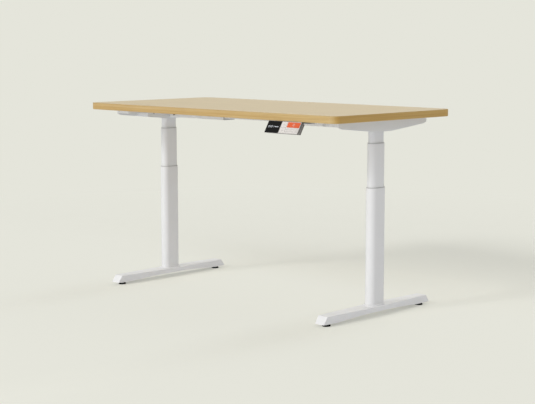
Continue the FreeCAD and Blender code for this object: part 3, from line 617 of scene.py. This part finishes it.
def repeat_tree():
    """One made part at every place, standing on the way that place faces, with a random turn."""
    tree, inlet, outlet = new_tree("repeat_part", [
        ("Part", "Object"), ("Random turn", "Float"), ("Seed", "Int"), ("Finish", "Material")])
    link = tree.links.new
    part = tree.nodes.new("GeometryNodeObjectInfo")
    link(inlet.outputs["Part"], part.inputs["Object"])
    facing = tree.nodes.new("GeometryNodeInputNamedAttribute")
    facing.data_type = "FLOAT_VECTOR"
    facing.inputs["Name"].default_value = "facing"
    stand = tree.nodes.new("FunctionNodeAlignRotationToVector")
    stand.axis = "Z"
    link(facing.outputs["Attribute"], stand.inputs["Vector"])
    chance = tree.nodes.new("FunctionNodeRandomValue")
    chance.data_type = "FLOAT"
    least, most = [socket for socket in chance.inputs if socket.type == "VALUE" and socket.enabled]
    link(maths(tree, "MULTIPLY", inlet.outputs["Random turn"], -1.0), least)
    link(inlet.outputs["Random turn"], most)
    link(inlet.outputs["Seed"], chance.inputs["Seed"])
    spin = tree.nodes.new("FunctionNodeAxisAngleToRotation")
    link(chance.outputs[1], spin.inputs["Angle"])
    both = tree.nodes.new("FunctionNodeRotateRotation")
    both.rotation_space = "LOCAL"
    link(stand.outputs["Rotation"], both.inputs["Rotation"])
    link(spin.outputs["Rotation"], both.inputs["Rotate By"])
    spread = tree.nodes.new("GeometryNodeInstanceOnPoints")
    link(inlet.outputs["Geometry"], spread.inputs["Points"])
    link(part.outputs["Geometry"], spread.inputs["Instance"])
    link(both.outputs["Rotation"], spread.inputs["Rotation"])
    finish_tree(tree, inlet, outlet, spread.outputs["Instances"])
    return tree


def bead_tree():
    """A weld bead that follows a closed path, with even ripples along it."""
    tree, inlet, outlet = new_tree("weld_bead", [
        ("Radius", "Float"), ("Ripple pitch", "Float"), ("Ripple depth", "Float"),
        ("Finish", "Material")])
    link = tree.links.new
    path = tree.nodes.new("GeometryNodeMeshToCurve")
    link(inlet.outputs["Geometry"], path.inputs["Mesh"])
    even = tree.nodes.new("GeometryNodeResampleCurve")
    even.mode = "LENGTH"
    link(path.outputs["Curve"], even.inputs["Curve"])
    link(maths(tree, "MULTIPLY", inlet.outputs["Ripple pitch"], 0.25), even.inputs["Length"])
    along = tree.nodes.new("GeometryNodeSplineParameter")
    turns = maths(tree, "DIVIDE", along.outputs["Length"], inlet.outputs["Ripple pitch"])
    wave = maths(tree, "SINE", maths(tree, "MULTIPLY", turns, 2 * math.pi))
    swell = maths(tree, "ADD", maths(tree, "MULTIPLY", wave, inlet.outputs["Ripple depth"]), 1.0)
    ring = tree.nodes.new("GeometryNodeCurvePrimitiveCircle")
    ring.inputs["Resolution"].default_value = 8
    link(inlet.outputs["Radius"], ring.inputs["Radius"])
    tube = tree.nodes.new("GeometryNodeCurveToMesh")
    link(even.outputs["Curve"], tube.inputs["Curve"])
    link(ring.outputs["Curve"], tube.inputs["Profile Curve"])
    link(swell, tube.inputs["Scale"])
    finish_tree(tree, inlet, outlet, tube.outputs["Mesh"])
    return tree


REPEAT = repeat_tree()
BEAD = bead_tree()
BEAD_SIZES = {"Radius": 0.0014, "Ripple pitch": 0.0024, "Ripple depth": 0.16}


def grow(name, seed, tree, values, body, slot, finish=None):
    """Run a tree on its seed mesh and settle the result as a plain mesh."""
    holder = add_object(name + "_seed", seed)
    modifier = holder.modifiers.new("grow", "NODES")
    modifier.node_group = tree
    wanted = dict(values, Finish=FINISHES[finish or slot])
    for item in tree.interface.items_tree:
        if item.in_out == "INPUT" and item.name in wanted:
            modifier[item.identifier] = wanted[item.name]
    depsgraph = bpy.context.evaluated_depsgraph_get()
    mesh = bpy.data.meshes.new_from_object(holder.evaluated_get(depsgraph))
    mesh.name = name
    holder.modifiers.remove(modifier)
    bpy.data.objects.remove(holder)
    return settle(name, mesh, body, slot, finish)


def places_mesh(name, places):
    """Points with the way each one faces."""
    mesh = bpy.data.meshes.new(name)
    mesh.from_pydata([spot for spot, facing in places], [], [])
    held = mesh.attributes.new("facing", "FLOAT_VECTOR", "POINT")
    held.data.foreach_set("vector", [value for spot, facing in places for value in facing])
    return mesh


def scatter(name, part, places, body, slot, turn=0.0, seed=1, finish=None):
    """The made part at each place. The part's own object is dropped afterwards."""
    model = add_object(name + "_part", closed_mesh(name + "_part", part))
    values = {"Part": model, "Random turn": turn, "Seed": seed}
    made = grow(name, places_mesh(name + "_places", places), REPEAT, values, body, slot, finish)
    bpy.data.objects.remove(model)
    return made


def ring_of(shape, radius, z, count):
    """A level ring of corners round the height axis."""
    turns = [2 * math.pi * i / count for i in range(count)]
    return [shape.verts.new((radius * math.cos(t), radius * math.sin(t), z)) for t in turns]


def pan_head_screw(head, thick, shank, length):
    """A pan head with a cross recess, its underside at height 0, and its shank below."""
    count = 20
    shape = bmesh.new()
    outline = ((shank, -length), (shank, 0.0), (head * 0.96, 0.0), (head, thick * 0.18),
               (head * 0.93, thick * 0.62), (head * 0.66, thick))
    rings = [ring_of(shape, radius, z, count) for radius, z in outline]
    for first, second in zip(rings, rings[1:]):
        join_rings(shape, first, second)
    shape.faces.new(rings[0])
    arm, half = head * 0.50, head * 0.13
    cross = [(half, half), (half, arm), (-half, arm), (-half, half), (-arm, half), (-arm, -half),
             (-half, -half), (-half, -arm), (half, -arm), (half, -half), (arm, -half), (arm, half)]
    top = [shape.verts.new((x, y, thick)) for x, y in cross]
    deep = [shape.verts.new((x * 0.8, y * 0.8, thick * 0.35)) for x, y in cross]
    join_rings(shape, top, deep)
    shape.faces.new(deep)
    loops = [shape.edges.get((ring[i], ring[(i + 1) % len(ring)])) for ring in (rings[-1], top)
             for i in range(len(ring))]
    bmesh.ops.triangle_fill(shape, edges=loops, use_beauty=True)
    return shape


def slat(length, width, tall):
    """A slat with sloping flanks, lying along y, its foot a little below height 0."""
    shape = bmesh.new()
    signs = ((-1, -1), (1, -1), (1, 1), (-1, 1))
    foot = [shape.verts.new((x * length / 2, y * width / 2, -0.0004)) for x, y in signs]
    crest = [shape.verts.new((x * (length / 2 - tall), y * width * 0.22, tall)) for x, y in signs]
    join_rings(shape, foot, crest)
    shape.faces.new(foot)
    shape.faces.new(crest)
    bmesh.ops.rotate(shape, verts=shape.verts, matrix=QUARTER_TURN)
    return shape


def bracket_wood_screws():
    """Eight screws that hold the brackets' tabs to the desktop, seen from below."""
    low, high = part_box("bracket_screws")
    head, tab_thick, from_column = 0.0045, 0.0025, 0.020
    middle_y = (high.y + low.y) / 2
    apart_y = (high.y - low.y) / 2 - head
    seat = BRACKET_HIGH.z - tab_thick
    places = [(Vector((side * FOOT_X + way * from_column, middle_y + end * apart_y, seat)), DOWN)
              for side in (-1, 1) for way in (-1, 1) for end in (-1, 1)]
    made = scatter("bracket_wood_screws", pan_head_screw(head, 0.0024, 0.0019, 0.018),
                   places, "top", "zinc", math.pi, 4)
    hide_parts("bracket_screws")


BOX_LOW, BOX_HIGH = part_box("control_box")


def box_vents():
    """Two banks of vent slats under the control box."""
    count, pitch, from_middle = 14, 0.0062, 0.066
    middle_y = (BOX_LOW.y + BOX_HIGH.y) / 2
    places = [(Vector((side * from_middle + (i - (count - 1) / 2) * pitch, middle_y, BOX_LOW.z)),
               DOWN) for side in (-1, 1) for i in range(count)]
    scatter("box_vent_slats", slat(0.052, 0.0032, 0.0007), places, "top", "black_plastic")


def box_screws():
    """A screw in each corner of the control box's lid."""
    inset, sunk = 0.010, 0.0004
    corners = [(Vector((x, y, BOX_LOW.z + sunk)), DOWN)
               for x in (BOX_LOW.x + inset, BOX_HIGH.x - inset)
               for y in (BOX_LOW.y + inset, BOX_HIGH.y - inset)]
    scatter("box_lid_screws", pan_head_screw(0.0034, 0.0017, 0.0013, 0.006), corners,
            "top", "black_screw", math.pi, 9)


def box_sockets():
    """A raised rim and a shallow key for each lead socket on the front of the control box."""
    middle = BOX_LOW.z + 0.017
    inner, outer, rim = 0.0065, 0.0085, 0.002
    front = Matrix.Translation((0.0, BOX_LOW.y, 0.0)) @ STAND_UP
    shape = bmesh.new()
    for x, wide in ((-0.085, 0.020), (-0.050, 0.020), (-0.019, 0.014)):
        left, right = x - wide / 2, x + wide / 2
        for start, end, base, top in ((left, right, inner, outer), (left, right, -outer, -inner),
                                      (left, left + rim, -inner, inner),
                                      (right - rim, right, -inner, inner)):
            prism(shape, box_corners(start, end, middle + base, middle + top, 0.0003),
                  (-0.0005, 0.0016), front)
        key_half = wide * 0.28
        key = box_corners(x - key_half, x + key_half, middle - 0.0035, middle + 0.0020, 0.0006)
        prism(shape, key, (-0.0005, 0.0009), front)
    piece("box_lead_sockets", shape, "top", "dark_grey_plastic")


def inlet_pins():
    """Three flat pins in the mains inlet."""
    low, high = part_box("mains_inlet")
    back = Matrix.Translation((0.0, high.y, 0.0)) @ STAND_UP
    x, z = (low.x + high.x) / 2, (low.z + high.z) / 2
    thick, tall = 0.0010, 0.0022
    shape = bmesh.new()
    for across, up in ((-0.0070, -0.0020), (0.0070, -0.0020), (0.0, 0.0020)):
        pin = box_corners(x + across - thick, x + across + thick, z + up - tall, z + up + tall,
                          0.0004)
        prism(shape, pin, (0.0030, 0.0172), back)
    piece("inlet_pins", shape, "top", "zinc")


def rounded_path(name, low, high, corner, z):
    """A closed path of edges round a column's foot."""
    steps = 6
    middle_x, middle_y = (low.x + high.x) / 2, (low.y + high.y) / 2
    reach_x, reach_y = (high.x - low.x) / 2 - corner, (high.y - low.y) / 2 - corner
    spots = []
    for turn, (side_x, side_y) in enumerate(((1, 1), (-1, 1), (-1, -1), (1, -1))):
        for step in range(steps + 1):
            angle = math.pi / 2 * (turn + step / steps)
            spots.append((middle_x + side_x * reach_x + corner * math.cos(angle),
                          middle_y + side_y * reach_y + corner * math.sin(angle), z))
    mesh = bpy.data.meshes.new(name)
    mesh.from_pydata(spots, [(i, (i + 1) % len(spots)) for i in range(len(spots))], [])
    return mesh


def weld_beads():
    """Beads where each column meets the top of its flange and the underside of its bracket."""
    under, top = 0, 1
    for side in ("left", "right"):
        for tube, other, face, body, corner in (
                ("outer_tube", "column_flange", top, side + "_base", 0.024),
                ("inner_tube", "side_bracket", under, "top", 0.017)):
            low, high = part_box(side + "_" + tube)
            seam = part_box(side + "_" + other)[face]
            path = rounded_path(side + "_path", low, high, corner, seam.z)
            made = grow("%s_%s_bead" % (side, other), path, BEAD, BEAD_SIZES, body, "white_steel")
            made.data.polygons.foreach_set("use_smooth", [True] * len(made.data.polygons))


def pad_grips():
    """Small upright ribs round the rim of each levelling pad."""
    count, sunk, above_floor = 30, 0.0001, 0.0017
    for side in ("left", "right"):
        for end in ("front", "back"):
            name = "%s_%s_pad" % (side, end)
            low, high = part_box(name)
            centre = (low + high) / 2
            foot = Vector((centre.x, centre.y, low.z + above_floor))
            ways = [Vector((math.cos(turn), math.sin(turn), 0.0))
                    for turn in (2 * math.pi * i / count for i in range(count))]
            places = [(foot + way * ((high.x - low.x) / 2 - sunk), way) for way in ways]
            scatter(name + "_grip", slat(0.0024, 0.0018, 0.0004), places,
                    "%s_%s_leveller" % (side, end), "black_plastic", finish="rubber")


bracket_wood_screws()
box_vents()
box_screws()
box_sockets()
inlet_pins()
weld_beads()
pad_grips()


# ------------------------------------------------------------------ floor, sky and lamps
FLOOR_COLOUR = (0.783, 0.783, 0.708)
FLOOR_SHADE = 0.88
FLOOR_REACH = 60.0
SKY_STRENGTH = 0.41


def seen_rays(tree):
    """1 for what is looked at, mirrored or seen through a window, and 0 for scattered light."""
    path = tree.nodes.new("ShaderNodeLightPath").outputs
    looked = maths(tree, "MAXIMUM", path["Is Camera Ray"], path["Is Glossy Ray"])
    return maths(tree, "MAXIMUM", looked, path["Is Transmission Ray"])


def open_floor(finish):
    """1 where the floor has the plain studio colour, and 0 where it takes the desk's shadow.

    It is plain far from the desk. Nearer, it is mostly plain under the desk and ahead of it, least
    so close to the feet, and it takes the whole shadow behind the desk.
    """
    distance = finish.nodes.new("ShaderNodeVectorMath")
    distance.operation = "LENGTH"
    finish.link(finish.where, distance.inputs[0])
    far = finish.spread(distance.outputs["Value"], 0.0, 1.0, from_low=2.3, from_high=4.0)
    place = finish.parts(finish.where)
    from_middle = finish.maths("ABSOLUTE", place["X"])
    from_feet = finish.maths("ABSOLUTE", finish.maths("SUBTRACT", from_middle, FOOT_X))
    clear = finish.spread(from_feet, 0.45, 0.85, from_low=0.04, from_high=0.22)
    ahead = finish.spread(place["Y"], 1.0, 0.0, from_low=0.35, from_high=0.85)
    return finish.maths("MAXIMUM", far, finish.maths("MULTIPLY", clear, ahead))


def make_floor():
    """A wide pale floor: matt where shadows fall, and evenly lit by itself elsewhere."""
    shape = bmesh.new()
    bmesh.ops.create_grid(shape, x_segments=1, y_segments=1, size=FLOOR_REACH)
    mesh = bpy.data.meshes.new("floor")
    shape.to_mesh(mesh)
    shape.free()
    floor = add_object("floor", mesh)
    grey = (FLOOR_SHADE, FLOOR_SHADE, FLOOR_SHADE)
    cream = (FLOOR_SHADE, FLOOR_SHADE, FLOOR_SHADE * FLOOR_COLOUR[2] / FLOOR_COLOUR[0])
    finish = Finish("floor", grey, 0.9)
    finish.shader.inputs["Specular IOR Level"].default_value = 0.0
    looked = finish.nodes.new("ShaderNodeLightPath").outputs["Is Camera Ray"]
    finish.lead("Base Color", finish.mix(looked, (*grey, 1.0), (*cream, 1.0)))
    glow = finish.nodes.new("ShaderNodeEmission")
    glow.inputs["Color"].default_value = (*FLOOR_COLOUR, 1.0)
    blend = finish.nodes.new("ShaderNodeMixShader")
    plain = finish.maths("MULTIPLY", open_floor(finish), seen_rays(finish.tree))
    finish.link(plain, blend.inputs[0])
    finish.link(finish.shader.outputs["BSDF"], blend.inputs[1])
    finish.link(glow.outputs[0], blend.inputs[2])
    finish.link(blend.outputs[0], finish.output.inputs["Surface"])
    mesh.materials.append(finish.material)


def make_sky():
    """Even white light from all round, in front of a backdrop in the floor's colour."""
    world = bpy.data.worlds.new("studio")
    bpy.context.scene.world = world
    world.use_nodes = True
    tree = world.node_tree
    tree.nodes.clear()
    blend = tree.nodes.new("ShaderNodeMixShader")
    tree.links.new(seen_rays(tree), blend.inputs[0])
    for socket, colour, strength in ((blend.inputs[1], (1.0, 1.0, 1.0), SKY_STRENGTH),
                                     (blend.inputs[2], FLOOR_COLOUR, 1.0)):
        shade = tree.nodes.new("ShaderNodeBackground")
        shade.inputs["Color"].default_value = (*colour, 1.0)
        shade.inputs["Strength"].default_value = strength
        tree.links.new(shade.outputs[0], socket)
    output = tree.nodes.new("ShaderNodeOutputWorld")
    tree.links.new(blend.outputs[0], output.inputs["Surface"])


def sun(name, towards, strength, angle):
    """A soft lamp far away, in the direction given from the desk."""
    lamp = bpy.data.lights.new(name, "SUN")
    lamp.energy = strength
    lamp.angle = math.radians(angle)
    holder = add_object(name, lamp)
    holder.rotation_euler = Vector(towards).to_track_quat("Z", "Y").to_euler()


def panel(name, spot, wide, strength):
    """A round soft box at the spot, aimed at the middle of the desk, with its strength there."""
    lamp = bpy.data.lights.new(name, "AREA")
    lamp.shape = "DISK"
    lamp.size = wide
    aim = Vector((0.0, MIDDLE_Y, 0.4)) - Vector(spot)
    lamp.energy = strength * math.pi * aim.length * aim.length
    holder = add_object(name, lamp)
    holder.location = spot
    holder.rotation_euler = aim.to_track_quat("-Z", "Y").to_euler()


make_floor()
make_sky()
sun("key", (-0.23, -0.97, 0.532), strength=0.87, angle=13.0)
panel("front_low", (-0.80, -4.5, 0.9), wide=1.4, strength=0.42)
sun("front_fill", (0.40, -0.92, 0.60), strength=0.74, angle=60.0)
sun("back_right", (0.5, 0.8, 0.9), strength=0.42, angle=60.0)
sun("back_left", (-0.5, 0.8, 0.9), strength=0.52, angle=60.0)

bpy.context.scene.view_settings.view_transform = "Standard"
